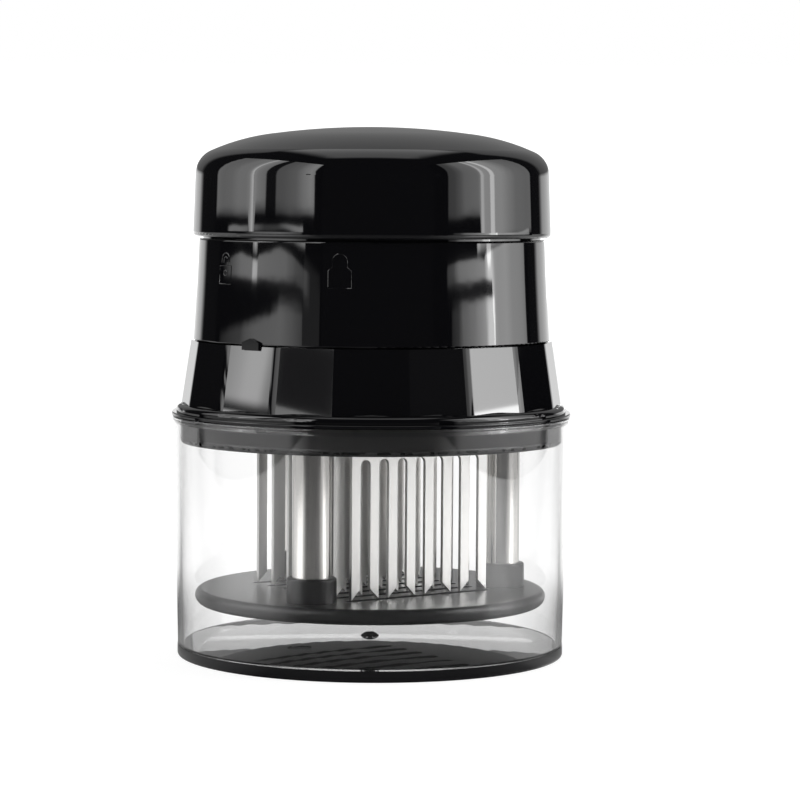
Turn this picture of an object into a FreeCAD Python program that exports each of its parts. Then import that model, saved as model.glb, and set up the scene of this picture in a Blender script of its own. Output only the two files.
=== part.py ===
import FreeCAD, Part
import math
import os

# Round push-down blade tenderizer, standing in its clear storage cup.
# Millimetres, +Z up. The origin is on the table, under the middle of the cup.

V = FreeCAD.Vector
up = V(0, 0, 1)
full_turn = 360.0
quarter_turn = 90.0

# --- Storage cup -----------------------------------------------------------
base_overhang = 0.1
base_thickness = 2.3
base_edge_round = 0.5
base_foot_width = 5.0
base_recess = 0.7

cup_mouth_radius = 40.4
cup_draft = 0.9
cup_height = 46.9
cup_wall = 1.1
cup_floor = 1.3
cup_floor_round = 1.5
cup_lip_overhang = 0.3
cup_lip_height = 1.0
cup_lip_round = 0.25
stake_radius = 1.2
stake_fit = 0.05
stake_head_radius = 1.95
stake_head_height = 0.9
stake_head_flat = 0.5

# --- Guard plate and its three posts --------------------------------------
guard_side_clearance = 2.4
guard_thickness = 3.2
guard_clearance_below = 7.0
guard_lower_round = 1.9
guard_upper_round = 1.3
guard_web = 2.4
collar_radius = 4.95
collar_height = 4.95
collar_round = 0.5

post_count = 3
post_inset = 9.0
post_radius = 3.9
post_wall = 0.6
post_lead_angle = 30.0
post_over_stop = 0.3
post_socket_fit = 0.03
post_slide_fit = 0.06
post_hole_clearance = 0.5

stop_thickness = 2.0
stop_width = 0.8
stop_fit = 0.02
plug_height = 7.0
plug_fit = 0.03

# --- Blade combs -------------------------------------------------------------
comb_count = 7
comb_spacing = 5.7
comb_angle = 34.8
comb_thickness = 0.8
comb_fit = 0.05
comb_post_clearance = 2.88
tine_count = 8
tine_width = 2.05
tine_bevel_angle = 45.0
tip_above_guard = 0.25
arch_above_tip = 27.8
comb_shoulder = 1.0
comb_head_height = 3.0
guard_slot_width = 2.0
guard_slot_overrun = 1.0

# --- Lower housing -----------------------------------------------------------
flange_overhang = 0.2
flange_seat_step = 0.2
flange_seat_inset = 0.5
flange_lip_height = 0.6
flange_lip_round = 0.25
collar_foot_inset = 1.0
collar_foot_height = 1.6
collar_foot_round = 1.1
foot_fillet = 0.9
foot_fillet_overlap = 0.27
spigot_depth = 5.3
spigot_wall = 2.0
spigot_fit = 0.3
spigot_chamfer = 0.4
bead_height = 0.8
bead_above_edge = 0.5
bead_fit = 0.15

skirt_sides = 18
skirt_height = 12.9
skirt_foot_inset = 1.55
skirt_draft = 1.9
skirt_wall = 2.1
skirt_edge_round = 5.0

deck_above_seat = 1.8
deck_thickness = 3.0
guide_radius = 6.0
guide_height = 2.0
guide_rib = 1.6

pointer_angle = -40.0
pointer_width = 4.4
pointer_height = 2.3
pointer_tip_rise = 0.8
pointer_overlap = 0.7
pointer_stand_off = 0.6

# --- Blade holder ------------------------------------------------------------
holder_recess = 1.1
holder_plate = 2.5
holder_fit = 0.3
holder_block_margin = 1.6
holder_block_round = 3.0
holder_screw_outset = 3.0
holder_boss_radius = 3.6

# --- Column, lock disc and spring plate --------------------------------------
column_foot_radius = 11.6
column_foot_height = 2.0
column_shoulder_radius = 6.0
column_radius = 4.5
column_screw_circle = 8.8
column_pilot_depth = 13.0
hub_fit = 0.06
clip_thickness = 1.0
clip_radius = 7.4
clip_groove = 0.5
clip_mouth = 5.4
clip_fit = 0.1

disc_thickness = 2.4
disc_clearance = 0.3
disc_rim_inset = 0.7
disc_lobe_clearance = 0.4
lock_turn = 15.0
unlock_turn = 30.0
lug_height = 2.5
lug_radius = 3.6
lug_inset = 4.4
lug_web_inset = 0.2

guard_stroke = 24.0
spring_radius = 3.0
spring_wire = 0.8
spring_pin_radius = 1.7
spring_pin_tip_round = 1.2
spring_pin_clearance = 17.0
spring_plate_clearance = 5.7
spring_plate_thickness = 3.5
spring_arm_width = 7.0
spring_pad_radius = 5.2
spring_hub_radius = 7.5
spring_hub_sleeve = 4.0

# --- Barrel and palm cap -----------------------------------------------------
barrel_gap = 0.1
barrel_foot_inset = 0.05
barrel_taper = 1.05
barrel_flare = 0.08
barrel_height = 20.7
barrel_wall = 2.0
barrel_edge_round = 0.4
barrel_spigot_fit = 0.55
barrel_spigot_wall = 1.5
neck_height = 0.4
neck_inset = 0.8

cap_height = 22.3
cap_side_overhang = 0.83
cap_lip_overhang = 1.25
cap_lip_above_neck = 1.3
cap_lip_round = 0.9
cap_wall = 2.2
cap_crown_angle = 8.0
cap_brow_radius = 45.0
cap_brow_angle = 24.0
cap_shoulder_radius = 5.5
cap_plug_depth = 2.7
cap_plug_wall = 1.2
cap_plug_fit = 0.15

# --- Screws ------------------------------------------------------------------
screw_head_radius = 2.6
screw_head_height = 1.2
screw_head_round = 0.55
screw_shank_radius = 1.2
screw_hole_radius = 1.35
screw_pilot_radius = 1.22
screw_end_gap = 0.4
screw_head_fit = 0.15

# How far a cutting shape runs past the face that it opens.
cut_past = 1.0

# --- Levels and places that follow from the sizes ----------------------------
cup_bottom = base_thickness
cup_rim = cup_bottom + cup_height
cup_floor_top = cup_bottom + cup_floor
cup_floor_radius = cup_mouth_radius - cup_draft
cup_lip_radius = cup_mouth_radius + cup_lip_overhang
cup_inner_mouth = cup_mouth_radius - cup_wall
cup_inner_floor = cup_floor_radius - cup_wall
base_radius = cup_floor_radius + base_overhang

guard_radius = cup_inner_floor - guard_side_clearance
guard_bottom = cup_floor_top + guard_clearance_below
guard_top = guard_bottom + guard_thickness
collar_top = guard_top + collar_height
socket_floor = guard_bottom + guard_web

post_circle = guard_radius - post_inset
post_side = post_circle * math.cos(math.radians(post_lead_angle)) - post_radius
tip_level = guard_top + tip_above_guard
arch_level = tip_level + arch_above_tip
comb_length = 2 * (post_side - comb_post_clearance)
tine_gap = (comb_length - tine_count * tine_width) / (tine_count - 1)
comb_rows = [(i - (comb_count - 1) / 2) * comb_spacing for i in range(comb_count)]

housing_seat = cup_rim
flange_bottom = housing_seat + flange_seat_step
spigot_bottom = housing_seat - spigot_depth
deck_bottom = housing_seat + deck_above_seat
deck_top = deck_bottom + deck_thickness
guide_top = deck_top + guide_height
collar_foot_bottom = flange_bottom + flange_lip_height
skirt_foot = collar_foot_bottom + collar_foot_height
skirt_top = skirt_foot + skirt_height

flange_radius = cup_lip_radius + flange_overhang
collar_foot_radius = flange_radius - collar_foot_inset
skirt_foot_radius = collar_foot_radius - skirt_foot_inset
skirt_top_radius = skirt_foot_radius - skirt_draft

holder_screw_circle = post_circle + holder_screw_outset
holder_bottom = spigot_bottom + holder_recess
shoulder_level = deck_bottom - comb_head_height

post_bore = post_radius - post_wall
stop_radius = post_radius + stop_width
post_top = guide_top + stop_thickness + post_over_stop
spring_seat = socket_floor + plug_height
spring_plate_bottom = post_top + guard_stroke + spring_plate_clearance
spring_pin_end = spring_seat + guard_stroke + spring_pin_clearance

disc_bottom = post_top + disc_clearance
disc_top = disc_bottom + disc_thickness
clip_bottom = disc_top + clip_fit

barrel_foot_radius = skirt_top_radius - barrel_foot_inset
barrel_top_radius = barrel_foot_radius - barrel_taper
barrel_spigot_radius = skirt_top_radius - skirt_wall - barrel_spigot_fit
disc_radius = barrel_spigot_radius - disc_rim_inset
lug_circle = barrel_spigot_radius - lug_inset
barrel_bottom = skirt_top + barrel_gap
barrel_top = barrel_bottom + barrel_height
neck_top = barrel_top + neck_height
cap_top = neck_top + cap_height
cap_side_radius = barrel_top_radius + cap_side_overhang
cap_lip_radius = barrel_top_radius + cap_lip_overhang
crown_sine = math.sin(math.radians(cap_crown_angle))
brow_sine = math.sin(math.radians(cap_brow_angle))
cap_crown_radius = (cap_side_radius - cap_brow_radius * (brow_sine - crown_sine)
                    - cap_shoulder_radius * (1 - brow_sine)) / crown_sine
cap_arcs = (
    (cap_crown_radius, cap_crown_angle),
    (cap_brow_radius, cap_brow_angle),
    (cap_shoulder_radius, quarter_turn),
)

post_angles = [comb_angle - post_lead_angle + i * full_turn / post_count for i in range(post_count)]
lobe_shift = (unlock_turn - lock_turn) / 2 + full_turn / post_count / 2
lobe_angles = [a + lobe_shift for a in post_angles]
holder_screw_angles = [a + full_turn / post_count / 2 for a in post_angles]


# --- Drawing helpers ---------------------------------------------------------
def outline(corners, place):
    # Closed wire through the corners. A third number rounds a corner, and a row
    # of four numbers is an arc through the first two to the last two.
    spots = []
    count = len(corners)
    for i, corner in enumerate(corners):
        if len(corner) == 4:
            spots.append((None, V(corner[0], corner[1], 0), V(corner[2], corner[3], 0)))
            continue
        here = V(corner[0], corner[1], 0)
        if len(corner) == 2:
            spots.append((here, None, here))
            continue
        back = V(*corners[i - 1][-2:] if len(corners[i - 1]) == 4 else corners[i - 1][:2], 0) - here
        ahead = V(*corners[(i + 1) % count][:2], 0) - here
        half = back.getAngle(ahead) / 2
        back.normalize()
        ahead.normalize()
        middle = (back + ahead).normalize()
        reach = corner[2] / math.tan(half)
        sagitta = corner[2] / math.sin(half) - corner[2]
        spots.append((here + back * reach, here + middle * sagitta, here + ahead * reach))
    edges = []
    for i, (start, through, end) in enumerate(spots):
        before = spots[i - 1][2]
        if start is None:
            start = before
        elif before.distanceToPoint(start) > 1e-6:
            edges.append(Part.LineSegment(place(before), place(start)).toShape())
        if through is not None:
            edges.append(Part.Arc(place(start), place(through), place(end)).toShape())
    return Part.Wire(Part.sortEdges(edges)[0])


def turned(corners):
    # Body of revolution about Z from a half section of (radius, height) corners.
    wire = outline(corners, lambda p: V(p.x, 0, p.y))
    return Part.Face(wire).revolve(V(0, 0, 0), up, full_turn)


def slab(corners, bottom, top):
    # Plate with a level outline.
    wire = outline(corners, lambda p: V(p.x, p.y, bottom))
    return Part.Face(wire).extrude(V(0, 0, top - bottom))


def rod(radius, bottom, top, x=0.0, y=0.0):
    return Part.makeCylinder(radius, top - bottom, V(x, y, bottom))


def tube(outer, inner, bottom, top):
    return rod(outer, bottom, top).cut(rod(inner, bottom, top))


def spun(shape, angle):
    return shape.rotated(V(0, 0, 0), up, angle)


def ring_of(shape, angles):
    # Copies of a shape drawn on the +X axis, turned to each angle.
    return [spun(shape, angle) for angle in angles]


def bar_outline(length, width, ends):
    # Level bar about the origin along X, with its corners rounded.
    x = length / 2
    y = width / 2
    return [(-x, -y, ends), (x, -y, ends), (x, y, ends), (-x, y, ends)]


def slot_outline(length, width):
    # Level slot about the origin along X, with half-round ends.
    r = width / 2
    x = length / 2
    return [(-x + r, -r), (x - r, -r), (x, 0, x - r, r), (-x + r, r), (-x, 0, -x + r, -r)]


def sector_of(radius, half_angle, bottom, top):
    # Pie slice about +X.
    side = Part.makeCylinder(radius, top - bottom, V(0, 0, bottom), up, 2 * half_angle)
    return spun(side, -half_angle)


def ring_of_flats(flat_radius, level):
    # Level ring of flats; the middle of one flat faces -Y.
    step = full_turn / skirt_sides
    corner_radius = flat_radius / math.cos(math.radians(step / 2))
    corners = []
    for i in range(skirt_sides):
        angle = math.radians(-quarter_turn + step / 2 + i * step)
        corners.append((corner_radius * math.cos(angle), corner_radius * math.sin(angle)))
    return outline(corners, lambda p: V(p.x, p.y, level))


def screw(x, level, length, points_up):
    # Plain pan-head screw under or over its seat level; threads are left out.
    head = rod(screw_head_radius, 0, screw_head_height)
    rim = [e for e in head.Edges if e.Curve.TypeId == "Part::GeomCircle" and e.CenterOfMass.z > 0]
    head = head.makeFillet(screw_head_round, rim)
    shank = rod(screw_shank_radius, -length, 0)
    body = head.fuse(shank).removeSplitter()
    if points_up:
        body = body.rotated(V(0, 0, 0), V(1, 0, 0), 180)
    return body.translated(V(x, 0, level))


def group(shapes):
    return Part.makeCompound(shapes)


# --- Storage cup -------------------------------------------------------------
def make_cup_base():
    # A stake with a low domed head comes up through the cup's floor and holds the cup.
    foot_inner = base_radius - base_edge_round - base_foot_width
    head_curve = (stake_head_radius ** 2 + stake_head_height ** 2) / (2 * stake_head_height)
    head_centre = cup_floor_top + stake_head_height - head_curve
    head_top = head_centre + math.sqrt(head_curve ** 2 - stake_head_flat ** 2)
    head_middle = (stake_head_radius + stake_head_flat) / 2
    head_shoulder = head_centre + math.sqrt(head_curve ** 2 - head_middle ** 2)
    return turned([
        (0, base_recess),
        (foot_inner, base_recess),
        (foot_inner, 0),
        (base_radius, 0, base_edge_round),
        (base_radius, base_thickness),
        (stake_radius, base_thickness),
        (stake_radius, cup_floor_top),
        (stake_head_radius, cup_floor_top),
        (head_middle, head_shoulder, stake_head_flat, head_top),
        (0, head_top),
    ])


def make_clear_cup():
    lip_bottom = cup_rim - cup_lip_height
    shell = turned([
        (0, cup_bottom),
        (cup_floor_radius, cup_bottom),
        (cup_mouth_radius, lip_bottom - cup_lip_overhang),
        (cup_lip_radius, lip_bottom, cup_lip_round),
        (cup_lip_radius, cup_rim, cup_lip_round),
        (cup_inner_mouth, cup_rim),
        (cup_inner_floor, cup_floor_top, cup_floor_round),
        (0, cup_floor_top),
    ])
    return shell.cut(rod(stake_radius + stake_fit, cup_bottom - cut_past, cup_floor_top + cut_past))


# --- Guard plate and posts ---------------------------------------------------
def make_guard_plate():
    plate = turned([
        (0, guard_bottom),
        (guard_radius, guard_bottom, guard_lower_round),
        (guard_radius, guard_top, guard_upper_round),
        (0, guard_top),
    ])
    collar = turned([
        (0, guard_bottom),
        (collar_radius, guard_bottom),
        (collar_radius, collar_top, collar_round),
        (0, collar_top),
    ]).translated(V(post_circle, 0, 0))
    plate = plate.fuse(ring_of(collar, post_angles))
    socket = rod(post_radius + post_socket_fit, socket_floor, collar_top + cut_past, post_circle)
    head_well = rod(screw_head_radius + screw_head_fit, guard_bottom - cut_past,
                    guard_bottom + screw_head_height + screw_head_fit, post_circle)
    hole = rod(screw_hole_radius, guard_bottom, socket_floor + cut_past, post_circle)
    for cutter in (socket, head_well, hole):
        plate = plate.cut(ring_of(cutter, post_angles))
    slot_length = comb_length + 2 * guard_slot_overrun
    slot = slab(slot_outline(slot_length, guard_slot_width), guard_bottom - cut_past, guard_top + cut_past)
    slots = [spun(slot.translated(V(0, row, 0)), comb_angle) for row in comb_rows]
    return plate.cut(slots)


def make_post_tube(angle):
    shell = tube(post_radius, post_bore, socket_floor, post_top).translated(V(post_circle, 0, 0))
    return spun(shell, angle)


def make_post_stop(angle):
    ring = tube(stop_radius, post_radius + stop_fit, guide_top, guide_top + stop_thickness)
    return spun(ring.translated(V(post_circle, 0, 0)), angle)


def make_post_plug(angle):
    plug = tube(post_bore - plug_fit, screw_pilot_radius, socket_floor, spring_seat)
    return spun(plug.translated(V(post_circle, 0, 0)), angle)


def make_post_screws():
    seat = guard_bottom + screw_head_height + screw_head_fit
    one = screw(post_circle, seat, spring_seat - screw_end_gap - seat, True)
    return group(ring_of(one, post_angles))


def make_return_spring(angle):
    # Stand-in sleeve of the coil's inner and outer diameter.
    coil = tube(spring_radius, spring_radius - spring_wire, spring_seat, spring_plate_bottom)
    return spun(coil.translated(V(post_circle, 0, 0)), angle)


# --- Blade combs -------------------------------------------------------------
def comb_outline():
    # Half-round arches between the tines; tips bevelled in facing pairs.
    rise = tine_width * math.tan(math.radians(tine_bevel_angle))
    pitch = tine_width + tine_gap
    spring_line = arch_level - tine_gap / 2
    corners = []
    for i in range(tine_count):
        left = -comb_length / 2 + i * pitch
        right = left + tine_width
        low_left = i % 2 == 0
        corners.append((left, tip_level if low_left else tip_level + rise))
        corners.append((right, tip_level + rise if low_left else tip_level))
        if i < tine_count - 1:
            corners.append((right, spring_line))
            corners.append((right + tine_gap / 2, arch_level, right + tine_gap, spring_line))
    end = comb_length / 2
    corners += [
        (end, shoulder_level),
        (end + comb_shoulder, shoulder_level),
        (end + comb_shoulder, deck_bottom),
        (-end - comb_shoulder, deck_bottom),
        (-end - comb_shoulder, shoulder_level),
        (-end, shoulder_level),
    ]
    return corners


def make_comb(row):
    face = Part.Face(outline(comb_outline(), lambda p: V(p.x, row - comb_thickness / 2, p.y)))
    return spun(face.extrude(V(0, comb_thickness, 0)), comb_angle)


def make_blade_holder():
    radius = cup_inner_mouth - spigot_fit - spigot_wall - holder_fit
    plate_top = holder_bottom + holder_plate
    holder = rod(radius, holder_bottom, plate_top)
    block_length = comb_length + 2 * comb_shoulder + 2 * holder_block_margin
    block_width = (comb_count - 1) * comb_spacing + comb_thickness + 2 * holder_block_margin
    block = slab(bar_outline(block_length, block_width, holder_block_round), holder_bottom, deck_bottom)
    boss = rod(holder_boss_radius, holder_bottom, deck_bottom, holder_screw_circle)
    holder = holder.fuse([spun(block, comb_angle)] + ring_of(boss, holder_screw_angles))
    width = comb_thickness + 2 * comb_fit
    for row in comb_rows:
        slit = Part.makeBox(comb_length + 2 * comb_fit, width, deck_bottom - holder_bottom + 2 * cut_past,
                            V(-comb_length / 2 - comb_fit, row - width / 2, holder_bottom - cut_past))
        head_length = comb_length + 2 * comb_shoulder + 2 * comb_fit
        head = Part.makeBox(head_length, width, comb_head_height + cut_past,
                            V(-head_length / 2, row - width / 2, shoulder_level))
        holder = holder.cut(spun(slit.fuse(head), comb_angle))
    cut_bottom = holder_bottom - cut_past
    cut_top = deck_bottom + cut_past
    post_hole = rod(post_radius + post_hole_clearance, cut_bottom, cut_top, post_circle)
    head_well = rod(screw_head_radius + screw_head_fit, cut_bottom,
                    holder_bottom + screw_head_height + screw_head_fit, holder_screw_circle)
    screw_hole = rod(screw_hole_radius, holder_bottom, cut_top, holder_screw_circle)
    holder = holder.cut(ring_of(post_hole, post_angles))
    holder = holder.cut(ring_of(head_well, holder_screw_angles))
    return holder.cut(ring_of(screw_hole, holder_screw_angles)).removeSplitter()


def make_holder_screws():
    seat = holder_bottom + screw_head_height + screw_head_fit
    one = screw(holder_screw_circle, seat, deck_top - 2 * screw_end_gap - seat, True)
    return group(ring_of(one, holder_screw_angles))


# --- Lower housing -----------------------------------------------------------
def make_lower_housing():
    spigot_radius = cup_inner_mouth - spigot_fit
    bead_radius = cup_inner_mouth - bead_fit
    bead_bottom = spigot_bottom + bead_above_edge
    bead_top = bead_bottom + bead_height
    seat_radius = cup_mouth_radius - flange_seat_inset
    fillet_end = skirt_foot_radius - foot_fillet_overlap
    fillet_radius = fillet_end + foot_fillet
    fillet_bow = foot_fillet * math.sin(math.pi / 4)
    fillet_rise = foot_fillet * (1 - math.cos(math.pi / 4))
    body = turned([
        (0, deck_bottom),
        (spigot_radius - spigot_wall, deck_bottom),
        (spigot_radius - spigot_wall, spigot_bottom),
        (spigot_radius - spigot_chamfer, spigot_bottom),
        (spigot_radius, spigot_bottom + spigot_chamfer),
        (spigot_radius, bead_bottom),
        (bead_radius, (bead_bottom + bead_top) / 2, bead_height / 2),
        (spigot_radius, bead_top),
        (spigot_radius, housing_seat),
        (seat_radius, housing_seat),
        (seat_radius, flange_bottom),
        (flange_radius, flange_bottom),
        (flange_radius, collar_foot_bottom, flange_lip_round),
        (collar_foot_radius, collar_foot_bottom),
        (collar_foot_radius, skirt_foot, collar_foot_round),
        (fillet_radius, skirt_foot),
        (fillet_radius - fillet_bow, skirt_foot + fillet_rise, fillet_end, skirt_foot + foot_fillet),
        (0, skirt_foot + foot_fillet),
    ])
    taper = (skirt_foot_radius - skirt_top_radius) / skirt_height
    hidden_radius = skirt_foot_radius + taper * (skirt_foot - deck_bottom)
    rings = [ring_of_flats(hidden_radius, deck_bottom), ring_of_flats(skirt_top_radius, skirt_top)]
    skirt = Part.makeLoft(rings, True, True)
    upright = [e for e in skirt.Edges if abs(e.Vertexes[0].Z - e.Vertexes[-1].Z) > skirt_height / 2]
    skirt = skirt.makeFillet(skirt_edge_round, upright)
    room_top = skirt_top_radius - skirt_wall
    room_foot = room_top + taper * (skirt_top - deck_top)
    room = Part.makeCone(room_foot, room_top, skirt_top - deck_top, V(0, 0, deck_top))
    body = body.fuse(skirt).cut(room)

    guide = rod(guide_radius, deck_bottom, guide_top, post_circle)
    rib = Part.makeBox(room_top - post_circle, guide_rib, guide_top - deck_bottom,
                       V(post_circle, -guide_rib / 2, deck_bottom))
    inner_rib = Part.makeBox(post_circle - column_foot_radius, guide_rib, guide_top - deck_bottom,
                             V(column_foot_radius, -guide_rib / 2, deck_bottom))
    body = body.fuse(ring_of(guide.fuse([rib, inner_rib]), post_angles))
    bore = rod(post_radius + post_slide_fit, deck_bottom - cut_past, guide_top + cut_past, post_circle)
    body = body.cut(ring_of(bore, post_angles))
    column_pilot = rod(screw_pilot_radius, deck_bottom + screw_end_gap, deck_top + cut_past,
                       column_screw_circle)
    body = body.cut(ring_of(column_pilot, lobe_angles))
    holder_pilot = rod(screw_pilot_radius, deck_bottom - cut_past, deck_top - screw_end_gap,
                       holder_screw_circle)
    body = body.cut(ring_of(holder_pilot, holder_screw_angles))
    return body.fuse(make_pointer()).removeSplitter()


def make_pointer():
    # Moulded mark that points at the two signs of the barrel.
    half = pointer_width / 2
    foot = skirt_top - pointer_overlap
    top = foot + pointer_height
    inner = skirt_top_radius - skirt_wall / 2
    outer = barrel_foot_radius + pointer_stand_off
    wire = outline([(-half, foot), (half, foot), (half, top - pointer_tip_rise), (0, top),
                    (-half, top - pointer_tip_rise)], lambda p: V(p.x, -outer, p.y))
    tab = Part.Face(wire).extrude(V(0, outer - inner, 0))
    clear_radius = barrel_foot_radius + barrel_gap
    tab = tab.cut(rod(clear_radius, skirt_top, top + cut_past))
    return spun(tab, pointer_angle)


# --- Column, lock disc and spring plate --------------------------------------
def make_centre_column():
    groove = column_radius - clip_groove
    groove_top = clip_bottom + clip_thickness + clip_fit
    foot_top = deck_top + column_foot_height
    column = turned([
        (0, deck_top),
        (column_foot_radius, deck_top),
        (column_foot_radius, foot_top),
        (column_shoulder_radius, foot_top),
        (column_shoulder_radius, disc_bottom),
        (column_radius, disc_bottom),
        (column_radius, disc_top),
        (groove, disc_top),
        (groove, groove_top),
        (column_radius, groove_top),
        (column_radius, spring_plate_bottom),
        (0, spring_plate_bottom),
    ])
    pilot_end = spring_plate_bottom - column_pilot_depth
    column = column.cut(rod(screw_pilot_radius, pilot_end, spring_plate_bottom + cut_past))
    foot_hole = rod(screw_hole_radius, deck_top - cut_past, foot_top + cut_past, column_screw_circle)
    return column.cut(ring_of(foot_hole, lobe_angles))


def make_column_screws():
    seat = deck_top + column_foot_height
    one = screw(column_screw_circle, seat, seat - deck_bottom - 2 * screw_end_gap, False)
    return group(ring_of(one, lobe_angles))


def make_hub_clip():
    ring = tube(clip_radius, column_radius - clip_groove + clip_fit / 2, clip_bottom,
                clip_bottom + clip_thickness)
    mouth = Part.makeBox(clip_radius, clip_mouth, clip_thickness, V(0, -clip_mouth / 2, clip_bottom))
    return ring.cut(mouth)


def make_lock_disc():
    # Three lobes on a hub; the gaps let the post tops rise at every turn of the disc.
    stop_reach = stop_radius + disc_lobe_clearance
    disc = rod(disc_radius, disc_bottom, disc_top)
    gap_half = (lock_turn + unlock_turn) / 2
    gap_shift = (unlock_turn - lock_turn) / 2
    window = sector_of(disc_radius + cut_past, gap_half, disc_bottom - cut_past, disc_top + cut_past)
    window = window.cut(rod(post_circle - stop_reach, disc_bottom - 2 * cut_past, disc_top + 2 * cut_past))
    end = rod(stop_reach, disc_bottom - cut_past, disc_top + cut_past, post_circle)
    open_end = Part.makeBox(disc_radius, 2 * stop_reach, disc_thickness + 2 * cut_past,
                            V(post_circle, -stop_reach, disc_bottom - cut_past))
    end = end.fuse(open_end)
    window = window.fuse([spun(end, -gap_half), spun(end, gap_half)])
    disc = disc.cut(ring_of(spun(window, gap_shift), post_angles))
    disc = disc.cut(rod(column_radius + hub_fit, disc_bottom - cut_past, disc_top + cut_past))
    pilot = rod(screw_pilot_radius, disc_bottom - cut_past, disc_top + cut_past, lug_circle)
    return disc.cut(ring_of(pilot, lobe_angles))


def make_lock_screws():
    seat = disc_top + lug_height
    one = screw(lug_circle, seat, seat - disc_bottom, False)
    return group(ring_of(one, lobe_angles))


def make_spring_plate():
    top = spring_plate_bottom + spring_plate_thickness
    sleeve_bottom = spring_plate_bottom - spring_hub_sleeve
    plate = rod(spring_hub_radius, sleeve_bottom, top)
    arm = Part.makeBox(post_circle, spring_arm_width, spring_plate_thickness,
                       V(0, -spring_arm_width / 2, spring_plate_bottom))
    pad = rod(spring_pad_radius, spring_plate_bottom, top, post_circle)
    pin = turned([
        (0, spring_pin_end),
        (spring_pin_radius, spring_pin_end, spring_pin_tip_round),
        (spring_pin_radius, top),
        (0, top),
    ]).translated(V(post_circle, 0, 0))
    plate = plate.fuse(ring_of(arm.fuse([pad, pin]), post_angles)).removeSplitter()
    plate = plate.cut(rod(column_radius + hub_fit, sleeve_bottom - cut_past, spring_plate_bottom))
    return plate.cut(rod(screw_hole_radius, spring_plate_bottom - cut_past, top + cut_past))


def make_spring_plate_screw():
    seat = spring_plate_bottom + spring_plate_thickness
    return screw(0, seat, spring_plate_thickness + column_pilot_depth - screw_end_gap, False)


# --- Barrel and palm cap -----------------------------------------------------
def make_barrel():
    inner_foot = barrel_foot_radius - barrel_wall
    inner_top = barrel_top_radius - barrel_wall
    spigot_inner = barrel_spigot_radius - barrel_spigot_wall
    spigot_root = barrel_bottom + barrel_wall
    neck_radius = barrel_top_radius - neck_inset
    edge_step = barrel_edge_round * (1 - math.cos(math.pi / 4))
    shell = turned([
        (spigot_inner, disc_top),
        (barrel_spigot_radius, disc_top),
        (barrel_spigot_radius, barrel_bottom),
        (barrel_foot_radius - barrel_edge_round, barrel_bottom),
        (barrel_foot_radius - edge_step, barrel_bottom + edge_step,
         barrel_foot_radius, barrel_bottom + barrel_edge_round),
        ((barrel_foot_radius + barrel_top_radius) / 2 - barrel_flare, (barrel_bottom + barrel_top) / 2,
         barrel_top_radius, barrel_top - barrel_edge_round),
        (barrel_top_radius - edge_step, barrel_top - edge_step,
         barrel_top_radius - barrel_edge_round, barrel_top),
        (neck_radius, barrel_top),
        (neck_radius, neck_top),
        (inner_top, neck_top),
        (inner_foot, spigot_root),
        (spigot_inner, spigot_root),
    ])
    lug_top = disc_top + lug_height
    lug = rod(lug_radius, disc_top, lug_top, lug_circle)
    web = Part.makeBox(barrel_spigot_radius - lug_circle - lug_web_inset, 2 * lug_radius, lug_height,
                       V(lug_circle, -lug_radius, disc_top))
    shell = shell.fuse(ring_of(lug.fuse(web), lobe_angles))
    hole = rod(screw_hole_radius, disc_top - cut_past, lug_top + cut_past, lug_circle)
    return shell.cut(ring_of(hole, lobe_angles)).removeSplitter()


def crown(drop):
    # Tangent arcs from the crown's middle to its vertical side, all offset
    # inwards by drop: each row is a point on the arc and the arc's end.
    rows = []
    start_angle = 0.0
    centre = V(0, cap_top - cap_crown_radius, 0)
    previous = cap_crown_radius
    for radius, end_angle in cap_arcs:
        turn = math.radians(start_angle)
        centre = centre + V(math.sin(turn), math.cos(turn), 0) * (previous - radius)
        marks = []
        for angle in ((start_angle + end_angle) / 2, end_angle):
            turn = math.radians(angle)
            marks.append(centre + V(math.sin(turn), math.cos(turn), 0) * (radius - drop))
        rows.append((marks[0].x, marks[0].y, marks[1].x, marks[1].y))
        previous = radius
        start_angle = end_angle
    return rows


def crown_backwards(drop, start):
    # The same arcs from the side back to the middle.
    rows = crown(drop)
    ends = [start] + [(row[2], row[3]) for row in rows[:-1]]
    return [(row[0], row[1], end[0], end[1]) for row, end in zip(reversed(rows), reversed(ends))]


def make_palm_cap():
    plug_outer = barrel_top_radius - barrel_wall - cap_plug_fit
    plug_inner = plug_outer - cap_plug_wall
    floor_top = neck_top + cap_lip_above_neck
    inner_side = cap_side_radius - cap_wall
    inner_shoulder = crown(cap_wall)[-1]
    top_inside = (0, cap_top - cap_wall)
    return turned([(0, cap_top)] + crown(0) + [
        (cap_lip_radius, neck_top + cap_lip_above_neck),
        (cap_lip_radius, neck_top, cap_lip_round),
        (plug_outer, neck_top),
        (plug_outer, neck_top - cap_plug_depth),
        (plug_inner, neck_top - cap_plug_depth),
        (plug_inner, floor_top),
        (inner_side, floor_top),
        (inner_shoulder[2], inner_shoulder[3]),
    ] + crown_backwards(cap_wall, top_inside))


# --- Writing the pieces ------------------------------------------------------
def write(name, shape):
    shape.exportStep("parts/" + name + ".step")
    print(name, "solids", len(shape.Solids), "volume", round(shape.Volume, 1), "valid", shape.isValid())


os.makedirs("parts", exist_ok=True)

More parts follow.
